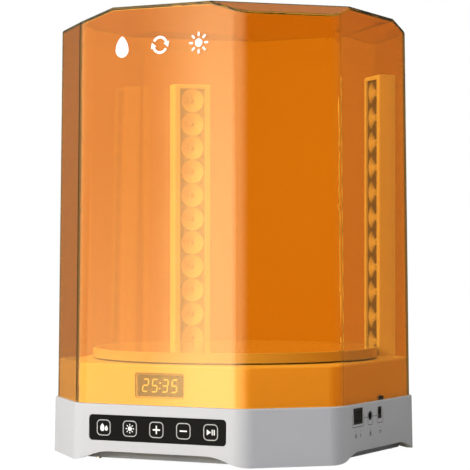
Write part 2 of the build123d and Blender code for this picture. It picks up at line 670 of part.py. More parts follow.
with BuildPart() as magnet_rotor:
    with Locations((0, 0, ROTOR_Z)):
        Cylinder(ROTOR_R, ROTOR_THICK, align=(Align.CENTER, Align.CENTER, Align.MIN))
        Cylinder(7, 8, align=(Align.CENTER, Align.CENTER, Align.MAX))
    with Locations((0, 0, ROTOR_Z - 8)):
        Cylinder(
            SHAFT_R,
            ROTOR_THICK + 8,
            align=(Align.CENTER, Align.CENTER, Align.MIN),
            mode=Mode.SUBTRACT,
        )
    with PolarLocations(MAGNET_RING, MAGNET_COUNT):
        with Locations((0, 0, ROTOR_Z + ROTOR_THICK)):
            Cylinder(
                MAGNET_R, 3, align=(Align.CENTER, Align.CENTER, Align.MAX), mode=Mode.SUBTRACT
            )
save(magnet_rotor, "magnet_rotor")

with BuildPart() as rotor_magnets:
    with PolarLocations(MAGNET_RING, MAGNET_COUNT):
        with Locations((0, 0, ROTOR_Z + ROTOR_THICK - 3)):
            Cylinder(MAGNET_R, 5, align=(Align.CENTER, Align.CENTER, Align.MIN))
save(rotor_magnets, "rotor_magnets")

# ---------------------------------------------------------------- internal leads
LEAD_R = 1.2
BEND_LIMIT = 20.0
column_hole = WIRE_HOLE[1] / sqrt(2)
inlet_back = face_half - 14
# each run to the board: where the lead starts, and the points it passes
board_runs = [
    [(-column_hole, column_hole, 96), (-column_hole, column_hole, 78), (-84, 112, 52), (-60, 92, 38)],
    [(-20, display_back + 5.2, WINDOW_Z), (-20, -120, WINDOW_Z), (-44, -80, 48), (-52, -14, 32)],
    [(0, MOTOR_R + 0.1, 32), (0, 34, 32)],
    [(20, touch_back + 5.2, PANEL_Z), (20, -126, PANEL_Z), (48, -70, 24), (46, 0, 24)],
    [(column_hole, column_hole, 96), (column_hole, column_hole, 78), (84, 112, 52), (60, 92, 40)],
    [
        (switch_tail - 0.2, SWITCH_Y + 6, SWITCH_Z),
        (120, SWITCH_Y + 6, SWITCH_Z),
        (100, -10, 30),
        (74, 40, 28),
    ],
]
supply_run = [
    (inlet_back - 0.2, 0, INLET_Z),
    (126, 0, INLET_Z),
    (114, -30, INLET_Z + 2.4),
    (120, SWITCH_Y - 6, SWITCH_Z),
    (switch_tail - 0.2, SWITCH_Y - 6, SWITCH_Z),
]


def bend_radii(points):
    """Bends as large as the runs beside each corner allow, up to the limit."""
    places = [Vector(*point) for point in points]
    radii = []
    for before, corner, after in zip(places, places[1:], places[2:]):
        turn = radians((corner - before).get_angle(after - corner))
        shorter = min((corner - before).length, (after - corner).length)
        radii.append(min(BEND_LIMIT, 0.45 * shorter / tan(turn / 2)))
    return radii


landings = [[(x, CONNECTOR_Y, board_top + 17), (x, CONNECTOR_Y, board_top + 3)] for x in connector_x]
lead_routes = [run + landing for run, landing in zip(board_runs, landings)] + [supply_run]

with BuildPart() as internal_leads:
    for route in lead_routes:
        with BuildLine() as run:
            FilletPolyline(*route, radius=bend_radii(route))
        with BuildSketch(Plane(run.line @ 0, z_dir=run.line % 0)):
            Circle(LEAD_R)
        sweep()
save(internal_leads, "internal_leads")

# ---------------------------------------------------------------- turntable
SEAT_Z = DECK_Z - RECESS_DEPTH
SEAT_R = 55.0
SEAT_THICK = 2.0
STUD_R = 7.5
RACE_Z = 95.3
RACE_HEIGHT = 5.0
RACE_OUTER_R = 12.0
RACE_WALL = 1.4
BALL_R = 1.15
BALL_RING = (STUD_R + RACE_OUTER_R) / 2
BALL_COUNT = 12
GROOVE_R = BALL_R + 0.05
race_mid = RACE_Z + RACE_HEIGHT / 2
plate_under = TABLE_TOP_Z - MIRROR_THICK - TABLE_PLATE
HUB_R = 17.0
MAGNET_BOSS_Z = 97.0
RIM_THICK = 3.0
RIB_COUNT = 12

with BuildPart() as turntable_seat:
    with Locations((0, 0, SEAT_Z)):
        Cylinder(SEAT_R, SEAT_THICK, align=(Align.CENTER, Align.CENTER, Align.MIN))
        Cylinder(STUD_R + 1.6, RACE_Z - SEAT_Z, align=(Align.CENTER, Align.CENTER, Align.MIN))
        Cylinder(
            STUD_R, RACE_Z + RACE_HEIGHT - SEAT_Z, align=(Align.CENTER, Align.CENTER, Align.MIN)
        )
    with Locations((0, 0, RACE_Z + RACE_HEIGHT)):
        Cylinder(
            SCREW_R, 6, align=(Align.CENTER, Align.CENTER, Align.MAX), mode=Mode.SUBTRACT
        )
save(turntable_seat, "turntable_seat")

with BuildPart() as bearing_retainer:
    with Locations((0, 0, RACE_Z + RACE_HEIGHT)):
        Cylinder(STUD_R + 1.3, 0.6, align=(Align.CENTER, Align.CENTER, Align.MIN))
        Cylinder(SCREW_R, 5, align=(Align.CENTER, Align.CENTER, Align.MAX))
save(bearing_retainer, "bearing_retainer")


def race(inner, outer):
    """A bearing race between two radii, with the ball groove cut in it."""
    with BuildPart() as ring:
        with BuildSketch(Plane.XZ):
            with Locations(((inner + outer) / 2, race_mid)):
                Rectangle(outer - inner, RACE_HEIGHT)
            with Locations((BALL_RING, race_mid)):
                Circle(GROOVE_R, mode=Mode.SUBTRACT)
        revolve(axis=Axis.Z)
    return ring


save(race(STUD_R, STUD_R + RACE_WALL), "bearing_inner_race")
save(race(RACE_OUTER_R - RACE_WALL, RACE_OUTER_R), "bearing_outer_race")

with BuildPart() as bearing_balls:
    with PolarLocations(BALL_RING, BALL_COUNT):
        with Locations((0, 0, race_mid)):
            Sphere(BALL_R)
save(bearing_balls, "bearing_balls")

with BuildPart() as bearing_cage:
    with BuildSketch(Plane.XY.offset(race_mid - 1.6)):
        Circle(BALL_RING + 0.4)
        Circle(BALL_RING - 0.4, mode=Mode.SUBTRACT)
    extrude(amount=3.2)
    with PolarLocations(BALL_RING, BALL_COUNT):
        with Locations(Location((0, 0, race_mid), (0, 90, 0))):
            Cylinder(GROOVE_R, 2, mode=Mode.SUBTRACT)
save(bearing_cage, "bearing_cage")

with BuildPart() as turntable:
    # section through the tray: skirt, plate, magnet boss and bearing hub
    with BuildSketch(Plane.XZ):
        with BuildLine():
            Polyline(
                (0, plate_under + TABLE_PLATE),
                (TABLE_R - RIM_THICK, plate_under + TABLE_PLATE),
                (TABLE_R - RIM_THICK, TABLE_TOP_Z),
                (TABLE_R, TABLE_TOP_Z),
                (TABLE_R, TABLE_SKIRT_Z),
                (TABLE_R - RIM_THICK, TABLE_SKIRT_Z),
                (TABLE_R - RIM_THICK, plate_under),
                (40, plate_under),
                (40, MAGNET_BOSS_Z),
                (24, MAGNET_BOSS_Z),
                (24, plate_under),
                (HUB_R, plate_under),
                (HUB_R, RACE_Z),
                (RACE_OUTER_R, RACE_Z),
                (RACE_OUTER_R, RACE_Z + RACE_HEIGHT),
                (RACE_OUTER_R - 1.2, RACE_Z + RACE_HEIGHT),
                (RACE_OUTER_R - 1.2, plate_under),
                (0, plate_under),
                close=True,
            )
        make_face()
    revolve(axis=Axis.Z)
    outer_rims = edges().filter_by(GeomType.CIRCLE).filter_by(lambda e: e.radius > TABLE_R - 0.1)
    fillet(outer_rims, 0.8)
    with PolarLocations(MAGNET_RING, MAGNET_COUNT):
        with Locations((0, 0, MAGNET_BOSS_Z)):
            Cylinder(
                MAGNET_R, 2.5, align=(Align.CENTER, Align.CENTER, Align.MIN), mode=Mode.SUBTRACT
            )
    with PolarLocations((40 + TABLE_R - RIM_THICK) / 2, RIB_COUNT):
        with Locations((0, 0, plate_under)):
            Box(
                TABLE_R - RIM_THICK - 39,
                1.6,
                3.5,
                align=(Align.CENTER, Align.CENTER, Align.MAX),
            )
save(turntable, "turntable")

with BuildPart() as turntable_mirror:
    with BuildSketch(Plane.XY.offset(TABLE_TOP_Z - MIRROR_THICK)):
        Circle(TABLE_R - RIM_THICK)
    extrude(amount=MIRROR_THICK)
save(turntable_mirror, "turntable_mirror")

with BuildPart() as turntable_magnets:
    with PolarLocations(MAGNET_RING, MAGNET_COUNT):
        with Locations((0, 0, MAGNET_BOSS_Z - 0.5)):
            Cylinder(MAGNET_R, 3, align=(Align.CENTER, Align.CENTER, Align.MIN))
save(turntable_magnets, "turntable_magnets")

# ---------------------------------------------------------------- lamp columns
column_back = COLUMN_FRONT + COLUMN_DEPTH
BOWL_DEPTH = 3.2
led_board_front = COLUMN_FRONT + COLUMN_WALL + BOWL_DEPTH
led_board_back = led_board_front + BOARD_THICK
WINDOW_HALF = 14.2
window_top_z = LED_BOTTOM_Z + LED_COUNT * LED_PITCH
led_heights = [LED_BOTTOM_Z + LED_PITCH * (i + 0.5) for i in range(LED_COUNT)]
back_screw_places = [(sx * 15.8, z) for sx in (1, -1) for z in (112.0, 240.0, 366.0)]
SINK_R = 3.0
COLUMN_FLOOR = 4.0
column_middle_z = (DECK_Z + COLUMN_TOP_Z - COLUMN_WALL) / 2


def across(frame, out):
    """A plane across a column, this far out from the turntable's axis, facing outward."""
    return Plane(frame.origin + frame.y_dir * out, x_dir=frame.x_dir * -1, z_dir=frame.y_dir)


def column_housing(frame):
    with BuildPart() as housing:
        with BuildSketch(frame.offset(DECK_Z)):
            with Locations((0, COLUMN_FRONT + COLUMN_DEPTH / 2)):
                Rectangle(2 * COLUMN_HALF, COLUMN_DEPTH)
        extrude(amount=COLUMN_TOP_Z - DECK_Z)
        front = faces().filter_by(lambda f: f.normal_at().dot(frame.y_dir) < -0.9)
        fillet(front.edges().filter_by(lambda e: e.center().Z > DECK_Z + 1), 1.5)
        with BuildSketch(frame.offset(DECK_Z)):
            with Locations((0, COLUMN_FRONT + COLUMN_WALL + COLUMN_DEPTH / 2)):
                Rectangle(2 * (COLUMN_HALF - COLUMN_WALL), COLUMN_DEPTH)
        extrude(amount=COLUMN_TOP_Z - DECK_Z - COLUMN_WALL, mode=Mode.SUBTRACT)
        # floor with the screw and wire holes
        with BuildSketch(frame.offset(DECK_Z)):
            with Locations((0, (led_board_back + 0.4 + column_back) / 2)):
                Rectangle(2 * COLUMN_HALF - 1, column_back - led_board_back - 0.4)
            with Locations((-COLUMN_SCREW[0], COLUMN_SCREW[1]), COLUMN_SCREW):
                Circle(SCREW_R, mode=Mode.SUBTRACT)
            with Locations(WIRE_HOLE):
                Circle(3.5, mode=Mode.SUBTRACT)
        extrude(amount=COLUMN_FLOOR)
        with BuildSketch(across(frame, COLUMN_FRONT)):
            with Locations((0, (LED_BOTTOM_Z + window_top_z) / 2)):
                Rectangle(2 * WINDOW_HALF, window_top_z - LED_BOTTOM_Z)
        extrude(amount=COLUMN_WALL, mode=Mode.SUBTRACT)
        # bosses that clamp the lamp board and take the back plate's screws
        with BuildSketch(across(frame, column_back)):
            with Locations(*back_screw_places):
                Circle(3.4)
        extrude(amount=led_board_back - column_back)
        with BuildSketch(across(frame, column_back)):
            with Locations(*back_screw_places):
                Circle(SCREW_R)
        extrude(amount=-7, mode=Mode.SUBTRACT)
    return housing


def column_back_plate(frame):
    with BuildPart() as plate:
        with BuildSketch(frame.offset(DECK_Z)):
            with Locations((0, column_back + COLUMN_WALL / 2)):
                Rectangle(2 * COLUMN_HALF, COLUMN_WALL)
        extrude(amount=COLUMN_TOP_Z - DECK_Z)
        with Locations(across(frame, column_back + COLUMN_WALL)):
            with Locations(*back_screw_places):
                CounterSinkHole(SCREW_HOLE_R, SINK_R, COLUMN_WALL, 90)
    return plate


def column_back_screws(frame):
    with BuildPart() as flat_heads:
        with Locations(across(frame, column_back + COLUMN_WALL)):
            with Locations(*back_screw_places):
                Cylinder(
                    SCREW_R, COLUMN_WALL + 6, align=(Align.CENTER, Align.CENTER, Align.MAX)
                )
                Cone(
                    SCREW_R,
                    SINK_R,
                    SINK_R - SCREW_R,
                    align=(Align.CENTER, Align.CENTER, Align.MAX),
                )
    return flat_heads


def reflector_strip(frame):
    with BuildPart() as strip:
        with BuildSketch(across(frame, COLUMN_FRONT + COLUMN_WALL)):
            with Locations((0, column_middle_z)):
                Rectangle(2 * COLUMN_HALF - 6, COLUMN_TOP_Z - DECK_Z - 4)
        extrude(amount=BOWL_DEPTH)
        with Locations(across(frame, COLUMN_FRONT + COLUMN_WALL)):
            with Locations(*[(0, z) for z in led_heights]):
                Cone(
                    BOWL_R,
                    3.4,
                    BOWL_DEPTH,
                    align=(Align.CENTER, Align.CENTER, Align.MIN),
                    mode=Mode.SUBTRACT,
                )
    return strip


def lamp_board(frame):
    with BuildPart() as board:
        with BuildSketch(across(frame, led_board_front)):
            with Locations((0, column_middle_z)):
                Rectangle(2 * COLUMN_HALF - 4.4, COLUMN_TOP_Z - DECK_Z - 4)
        extrude(amount=BOARD_THICK)
    return board


def lamp_leds(frame):
    with BuildPart() as leds:
        with BuildSketch(across(frame, led_board_front)):
            with Locations(*[(0, z) for z in led_heights]):
                Rectangle(3.6, 3.6)
        extrude(amount=-0.9)
        with Locations(across(frame, led_board_front - 0.9)):
            with Locations(*[(0, z) for z in led_heights]):
                Sphere(1.5, arc_size1=-90, arc_size2=0)
    return leds


for side, frame in column_frames.items():
    save(column_housing(frame), f"{side}_column_housing")
    save(column_back_plate(frame), f"{side}_column_back")
    save(column_back_screws(frame), f"{side}_column_screws")
    save(reflector_strip(frame), f"{side}_reflector_strip")
    save(lamp_board(frame), f"{side}_lamp_board")
    save(lamp_leds(frame), f"{side}_lamp_leds")

with BuildPart() as column_base_screws:
    for frame in column_frames.values():
        with Locations(frame.offset(deck_under)):
            screws(
                [(-COLUMN_SCREW[0], COLUMN_SCREW[1]), COLUMN_SCREW], 0, DECK_PLATE + COLUMN_FLOOR
            )
save(column_base_screws, "column_base_screws")
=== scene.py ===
"""The looks of a resin wash and cure station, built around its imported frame.

Metres, +Z up, front facing -Y, origin at the centre of the footprint on the table.
"""

import json
import math

import bmesh
import bpy
from mathutils import Matrix, Vector


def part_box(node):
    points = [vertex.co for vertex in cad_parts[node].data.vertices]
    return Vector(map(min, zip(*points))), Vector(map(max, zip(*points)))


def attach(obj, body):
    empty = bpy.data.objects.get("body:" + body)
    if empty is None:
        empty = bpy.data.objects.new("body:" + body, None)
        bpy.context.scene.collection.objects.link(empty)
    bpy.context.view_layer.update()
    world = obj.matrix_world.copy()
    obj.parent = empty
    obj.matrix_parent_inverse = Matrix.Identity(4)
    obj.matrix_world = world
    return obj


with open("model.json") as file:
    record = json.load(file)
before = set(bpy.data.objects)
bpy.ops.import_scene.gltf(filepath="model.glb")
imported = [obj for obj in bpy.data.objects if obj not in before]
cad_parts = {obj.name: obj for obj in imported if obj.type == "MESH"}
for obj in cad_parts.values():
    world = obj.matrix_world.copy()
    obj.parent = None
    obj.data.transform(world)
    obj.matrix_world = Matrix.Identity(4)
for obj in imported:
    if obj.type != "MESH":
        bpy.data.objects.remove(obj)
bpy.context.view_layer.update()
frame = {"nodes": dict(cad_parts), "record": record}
NODES = frame["nodes"]
MM = 0.001

# ---------------------------------------------------------------- view
CAMERA_AZIMUTH = math.radians(27.34)  # from the front towards the right side
CAMERA_DISTANCE = 1.9189
CAMERA_HEIGHT = 0.1928
SENSOR = 36.0
FOCAL_WIDTHS = 4.0687  # focal length over the sensor's width
SHIFT = (0.0012, 0.0485)


def add_camera():
    """The photograph's view: level, from the front right, shifted to frame the station."""
    data = bpy.data.cameras.new("camera")
    data.sensor_width = SENSOR
    data.lens = FOCAL_WIDTHS * SENSOR
    data.shift_x, data.shift_y = SHIFT
    camera = bpy.data.objects.new("camera", data)
    across, back = math.sin(CAMERA_AZIMUTH), math.cos(CAMERA_AZIMUTH)
    camera.location = (CAMERA_DISTANCE * across, -CAMERA_DISTANCE * back, CAMERA_HEIGHT)
    camera.rotation_euler = (math.pi / 2, 0, CAMERA_AZIMUTH)
    bpy.context.scene.collection.objects.link(camera)
    bpy.context.scene.camera = camera


# ---------------------------------------------------------------- shader building blocks
class Tree:
    """A node tree under construction: short calls that add a node and wire it up."""

    def __init__(self, tree):
        self.tree = tree
        tree.nodes.clear()

    def add(self, kind, inputs=(), **settings):
        node = self.tree.nodes.new(kind)
        for key, value in settings.items():
            setattr(node, key, value)
        for key, value in dict(inputs).items():
            self.feed(node.inputs[key], value)
        return node

    def feed(self, socket, value):
        if isinstance(value, bpy.types.NodeSocket):
            self.tree.links.new(value, socket)
        else:
            socket.default_value = value

    def ramp(self, factor, low, high):
        """A number from low to high as factor goes from 0.3 to 0.7, where noise mostly lies."""
        inputs = {"Value": factor, "From Min": 0.3, "From Max": 0.7, "To Min": low, "To Max": high}
        return self.add("ShaderNodeMapRange", inputs).outputs["Result"]

    def blend(self, factor, first, second):
        """A colour between two others."""
        mix = self.add("ShaderNodeMix", data_type="RGBA")
        self.feed(mix.inputs[0], factor)
        self.feed(mix.inputs[6], first)
        self.feed(mix.inputs[7], second)
        return mix.outputs[2]

    def bump(self, height, strength, distance):
        inputs = {"Height": height, "Strength": strength, "Distance": distance}
        return self.add("ShaderNodeBump", inputs).outputs["Normal"]

    def maths(self, operation, first, second):
        return self.add("ShaderNodeMath", {0: first, 1: second}, operation=operation).outputs[0]

    def mixed(self, factor, first, second):
        """A number between two others."""
        mix = self.add("ShaderNodeMix", data_type="FLOAT")
        self.feed(mix.inputs[0], factor)
        self.feed(mix.inputs[2], first)
        self.feed(mix.inputs[3], second)
        return mix.outputs[0]


class Shader(Tree):
    """A material under construction, in the piece's own coordinates."""

    def __init__(self, name):
        self.material = bpy.data.materials.new(name)
        self.material.use_nodes = True
        super().__init__(self.material.node_tree)
        self.output = self.add("ShaderNodeOutputMaterial")
        self.place = self.add("ShaderNodeTexCoord").outputs["Object"]

    def noise(self, scale, detail=2.0, roughness=0.5, vector=None):
        inputs = {
            "Vector": vector or self.place,
            "Scale": scale,
            "Detail": detail,
            "Roughness": roughness,
        }
        return self.add("ShaderNodeTexNoise", inputs).outputs["Fac"]

    def stretched(self, x, y, z):
        """Object coordinates stretched for brushed or layered grain."""
        inputs = {"Vector": self.place, "Scale": (x, y, z)}
        return self.add("ShaderNodeMapping", inputs).outputs["Vector"]

    def finish(self, surface):
        self.tree.links.new(surface, self.output.inputs["Surface"])
        return self.material


def tone(colour, factor):
    """A colour made lighter or darker, and opaque."""
    return tuple(min(1.0, c * factor) for c in colour[:3]) + (1.0,)


def moulded(name, colour, roughness, grain=1600.0, depth=0.00004, spread=0.04, **sockets):
    """Moulded plastic: fine spark-eroded grain, slow colour drift and handling gloss."""
    s = Shader(name)
    drift = s.noise(9.0, detail=3.0)
    base = s.blend(s.ramp(drift, 0.0, 1.0), tone(colour, 1 - spread), tone(colour, 1 + spread))
    specks = s.noise(grain, detail=2.0)
    handling = s.noise(26.0, detail=4.0, roughness=0.6)
    inputs = {
        "Base Color": base,
        "Roughness": s.ramp(handling, roughness - 0.05, roughness + 0.06),
        "Normal": s.bump(specks, 0.35, depth),
    }
    for key, value in sockets.items():
        inputs[key.replace("_", " ")] = value
    return s.finish(s.add("ShaderNodeBsdfPrincipled", inputs).outputs["BSDF"])


def metal(name, colour, roughness, brushed=(1.0, 1.0, 14.0)):
    """Plated or drawn metal with fine directional brushing."""
    s = Shader(name)
    lines = s.noise(260.0, detail=4.0, vector=s.stretched(*brushed))
    patina = s.noise(40.0, detail=3.0)
    inputs = {
        "Base Color": s.blend(s.ramp(patina, 0.0, 1.0), tone(colour, 0.88), tone(colour, 1.06)),
        "Metallic": 1.0,
        "Roughness": s.ramp(lines, roughness - 0.08, roughness + 0.1),
        "Normal": s.bump(lines, 0.2, 0.00003),
    }
    return s.finish(s.add("ShaderNodeBsdfPrincipled", inputs).outputs["BSDF"])


def circuit_board(name, mask, copper):
    """Solder mask over a grid of traces, with bare pads here and there."""
    s = Shader(name)
    traces = s.add(
        "ShaderNodeTexBrick",
        {"Vector": s.stretched(1, 1, 1), "Scale": 90.0, "Mortar Size": 0.05, "Bias": -0.2},
    )
    cells = s.add("ShaderNodeTexVoronoi", {"Vector": s.place, "Scale": 240.0}, distance="CHEBYCHEV")
    pads = s.maths("LESS_THAN", cells.outputs["Distance"], 0.12)
    lines = s.blend(traces.outputs["Fac"], mask, tone(mask, 1.5))
    weave = s.noise(1400.0)
    inputs = {
        "Base Color": s.blend(pads, lines, copper),
        "Roughness": s.ramp(weave, 0.28, 0.42),
        "Normal": s.bump(traces.outputs["Fac"], 0.3, 0.00003),
    }
    return s.finish(s.add("ShaderNodeBsdfPrincipled", inputs).outputs["BSDF"])


AMBER_THIN = (0.862, 0.432, 0.05, 1.0)  # seen square on
AMBER_THICK = (0.848, 0.412, 0.042, 1.0)  # where the wall runs a little thicker
AMBER_SLANT = (0.43, 0.132, 0.018, 1.0)  # seen along the wall, through more of it
SLANT_POWER = 3.0  # how late the colour deepens as the wall turns away
AMBER_LIGHT = (1.0, 0.985, 0.94, 1.0)  # what the lamps' light keeps on its way in
AMBER_IOR = 1.49


def amber_shell():
    """Clear amber acrylic. Lamps shine through it unbent, so that what is inside is lit."""
    s = Shader("amber_acrylic")
    flow = s.noise(5.0, detail=2.0)
    ripple = s.noise(14.0, detail=1.0)
    wipe = s.noise(60.0, detail=5.0, roughness=0.65)
    facing = s.add("ShaderNodeLayerWeight", {"Blend": 0.5}).outputs["Facing"]
    slant = s.maths("POWER", facing, SLANT_POWER)
    straight = s.blend(s.ramp(flow, 0.0, 1.0), AMBER_THIN, AMBER_THICK)
    glass = s.add(
        "ShaderNodeBsdfPrincipled",
        {
            "Base Color": s.blend(slant, straight, AMBER_SLANT),
            "Roughness": s.ramp(wipe, 0.0, 0.012),
            "Normal": s.bump(ripple, 0.15, 0.0006),
            "Transmission Weight": 1.0,
            "IOR": AMBER_IOR,
        },
    )
    open_way = s.add("ShaderNodeBsdfTransparent", {"Color": AMBER_LIGHT})
    path = s.add("ShaderNodeLightPath")
    mix = s.add("ShaderNodeMixShader")
    s.feed(mix.inputs[0], path.outputs["Is Shadow Ray"])
    s.feed(mix.inputs[1], glass.outputs["BSDF"])
    s.feed(mix.inputs[2], open_way.outputs["BSDF"])
    return s.finish(mix.outputs["Shader"])


SMOKE_DARK = (0.42, 0.45, 0.56, 1)
SMOKE_LIGHT = (0.48, 0.51, 0.62, 1)
SMOKE_ALPHA = 0.2


def smoke_pane():
    """Smoked display window: lets the digits through and darkens the rest."""
    s = Shader("smoke_window")
    haze = s.noise(120.0, detail=3.0)
    pane = s.add(
        "ShaderNodeBsdfPrincipled",
        {
            "Base Color": s.blend(haze, SMOKE_DARK, SMOKE_LIGHT),
            "Roughness": s.ramp(haze, 0.06, 0.14),
            "Alpha": SMOKE_ALPHA,
        },
    )
    return s.finish(pane.outputs["BSDF"])


def glowing(name, colour, strength):
    """A lit segment or a lamp, a little uneven from place to place."""
    s = Shader(name)
    patch = s.noise(500.0, detail=2.0)
    inputs = {
        "Base Color": s.blend(patch, tone(colour, 0.85), tone(colour, 1.0)),
        "Roughness": s.ramp(patch, 0.35, 0.5),
        "Emission Color": s.blend(patch, tone(colour, 0.9), tone(colour, 1.05)),
        "Emission Strength": strength,
    }
    return s.finish(s.add("ShaderNodeBsdfPrincipled", inputs).outputs["BSDF"])


FLAT_STRIP = 0.47  # a strip's flat front looks along a diagonal, where x times y is 0.5
BOWL_DARK = (0.9, 0.89, 0.87, 1)
BOWL_LIGHT = (0.95, 0.94, 0.92, 1)
STRIP_FLAT = (0.55, 0.53, 0.51, 1)
STRIP_IN_PAINTED_SHADE = (0.16, 0.15, 0.14, 1)  # painted shade: the strip's colour seen from the side, where the bowls face away
PAINTED_SHADE_FROM, PAINTED_SHADE_TO = 0.3, 0.6  # where the painted shade begins and where it is full, by how far a surface has turned away, 0 square on and 1 edge on


def metallised():
    """The lamp strip's bright bowls, with a faint orange peel, in a duller flat strip; painted
    shade darkens it where it is seen from the side.
    """
    s = Shader("reflector")
    peel = s.noise(700.0, detail=2.0)
    normal = s.add("ShaderNodeTexCoord").outputs["Normal"]
    turned = s.add("ShaderNodeSeparateXYZ", {0: normal}).outputs
    square_on = s.maths("ABSOLUTE", s.maths("MULTIPLY", turned["X"], turned["Y"]), 0.0)
    flat = s.maths("GREATER_THAN", square_on, FLAT_STRIP)
    # painted shade: the strip darkens as it turns away from the view, as if in the shade of its
    # recess
    facing = s.add("ShaderNodeLayerWeight", {"Blend": 0.5}).outputs["Facing"]
    inputs = {"Value": facing, "From Min": PAINTED_SHADE_FROM, "From Max": PAINTED_SHADE_TO}
    painted_shade = s.add("ShaderNodeMapRange", inputs).outputs["Result"]
    bowl = s.blend(s.ramp(peel, 0.0, 1.0), BOWL_DARK, BOWL_LIGHT)
    strip = s.blend(flat, bowl, STRIP_FLAT)
    inputs = {
        "Base Color": s.blend(painted_shade, strip, STRIP_IN_PAINTED_SHADE),
        "Metallic": 0.1,
        "Roughness": s.ramp(peel, 0.28, 0.4),
        "Normal": s.bump(peel, 0.25, 0.00005),
    }
    return s.finish(s.add("ShaderNodeBsdfPrincipled", inputs).outputs["BSDF"])


def reflecting_sheet():
    """The turntable's reflecting film: fine concentric rings in a bright sheet."""
    s = Shader("mirror_sheet")
    rings = s.add(
        "ShaderNodeTexWave",
        {"Vector": s.place, "Scale": 110.0, "Distortion": 0.0, "Detail": 0.0},
        wave_type="RINGS",
        rings_direction="Z",
    ).outputs["Fac"]
    scuffs = s.noise(90.0, detail=5.0, roughness=0.7)
    inputs = {
        "Base Color": s.blend(scuffs, (0.82, 0.82, 0.83, 1), (0.88, 0.88, 0.89, 1)),
        "Metallic": 0.75,
        "Roughness": s.ramp(scuffs, 0.08, 0.16),
        "Normal": s.bump(rings, 0.05, 0.00001),
    }
    return s.finish(s.add("ShaderNodeBsdfPrincipled", inputs).outputs["BSDF"])


# ---------------------------------------------------------------- material table
BARE_PAD = (0.75, 0.6, 0.35, 1)  # gold-plated pads on the circuit boards
GREEN_MASK = (0.02, 0.16, 0.06, 1)
WHITE_MASK = (0.7, 0.7, 0.68, 1)
INK_GRAIN = 900.0
OTHER_FINISH = {"bottom_pan": "pan_plastic"}  # nodes dressed otherwise than by their slot


def plastics():
    return {
        "grey_housing": moulded("grey_housing", (0.468, 0.471, 0.492), 0.45, spread=0.02),
        "white_housing": moulded("white_housing", (0.9, 0.895, 0.87), 0.45, spread=0.015),
        "turntable_grey": moulded("turntable_grey", (0.6, 0.6, 0.6), 0.3, spread=0.02),
        "pan_plastic": moulded("pan_plastic", (0.27, 0.275, 0.295), 0.55, spread=0.08),
        "dark_plastic": moulded(
            "dark_plastic", (0.018, 0.018, 0.019), 0.5, spread=0.12, Specular_IOR_Level=0.25
        ),
        "rubber": moulded(
            "rubber", (0.03, 0.03, 0.03), 0.8, grain=900.0, depth=0.0001, spread=0.1
        ),
        "copper_lead": moulded(
            "copper_lead", (0.42, 0.03, 0.02), 0.45, grain=500.0, spread=0.15
        ),
    }


def panes():
    return {
        "amber_acrylic": amber_shell(),
        "smoke_window": smoke_pane(),
        "black_glass": moulded(
            "black_glass", (0.006, 0.006, 0.0065), 0.2, grain=300.0, depth=0.00001, spread=0.1,
            Specular_IOR_Level=0.02,
        ),
    }


def metals():
    return {
        "steel": metal("steel", (0.62, 0.62, 0.64), 0.34),
        "magnet": metal("magnet", (0.75, 0.76, 0.78), 0.22, brushed=(1, 1, 1)),
        "aluminium": metal("aluminium", (0.76, 0.77, 0.78), 0.36, brushed=(1, 12, 1)),
        "brass": metal("brass", (0.78, 0.6, 0.28), 0.32),
        "mirror": reflecting_sheet(),
        "reflector": metallised(),
    }


def electronics():
    return {
        "circuit_board": circuit_board("circuit_board", GREEN_MASK, BARE_PAD),
        "white_board": circuit_board("white_board", WHITE_MASK, BARE_PAD),
        "led": glowing("led", (0.8, 0.76, 0.6), 0.02),
        "lit_segment": glowing("lit_segment", (1.0, 0.86, 0.68), 1.7),
        "unlit_segment": moulded("unlit_segment", (0.16, 0.10, 0.12), 0.4, spread=0.1),
    }


def inks():
    return {
        "white_ink": moulded(
            "white_ink", (0.86, 0.85, 0.84), 0.4, grain=INK_GRAIN, spread=0.02
        ),
        "grey_ink": moulded(
            "grey_ink", (0.40, 0.40, 0.41), 0.4, grain=INK_GRAIN, spread=0.05
        ),
        "dark_ink": moulded(
            "dark_ink", (0.035, 0.035, 0.04), 0.5, grain=INK_GRAIN, spread=0.1
        ),
    }


def build_materials():
    return plastics() | panes() | metals() | electronics() | inks()


def dress_nodes(materials):
    """Gives every CAD node the material of its slot, or its other finish."""
    for part in frame["record"]["subparts"]:
        mesh = NODES[part["node"]].data
        mesh.materials.clear()
        finish = OTHER_FINISH.get(part["node"], part["material_slot"])
        mesh.materials.append(materials[finish])


# ---------------------------------------------------------------- flat printed shapes
def ring_of(cx, cy, radius, steps=40):
    """A circle's outline."""
    angles = [2 * math.pi * i / steps for i in range(steps)]
    return [(cx + radius * math.cos(a), cy + radius * math.sin(a)) for a in angles]


def rounded(cx, cy, width, height, radius, steps=8):
    """A rounded rectangle's outline."""
    points = []
    for quarter, (sx, sy) in enumerate(((1, 1), (-1, 1), (-1, -1), (1, -1))):
        x = cx + sx * (width / 2 - radius)
        y = cy + sy * (height / 2 - radius)
        for i in range(steps + 1):
            a = math.pi / 2 * (quarter + i / steps)
            points.append((x + radius * math.cos(a), y + radius * math.sin(a)))
    return points


def frame_ring(cx, cy, width, height, radius, line):
    """A rounded rectangle drawn as a line: an outline and the hole inside it."""
    inner = rounded(cx, cy, width - 2 * line, height - 2 * line, radius - line)
    return (rounded(cx, cy, width, height, radius), inner)


BAR_ROUNDING = 0.3  # a bar's corner radius as a share of its narrow side


def bar(cx, cy, length, width, angle=0.0):
    """A bar with softened corners, turned about its middle."""
    outline = rounded(0, 0, length, width, min(length, width) * BAR_ROUNDING, steps=4)
    c, s = math.cos(angle), math.sin(angle)
    return [(cx + x * c - y * s, cy + x * s + y * c) for x, y in outline]


DROP_TAPER = 0.25  # the lower, the later a drop narrows to its point


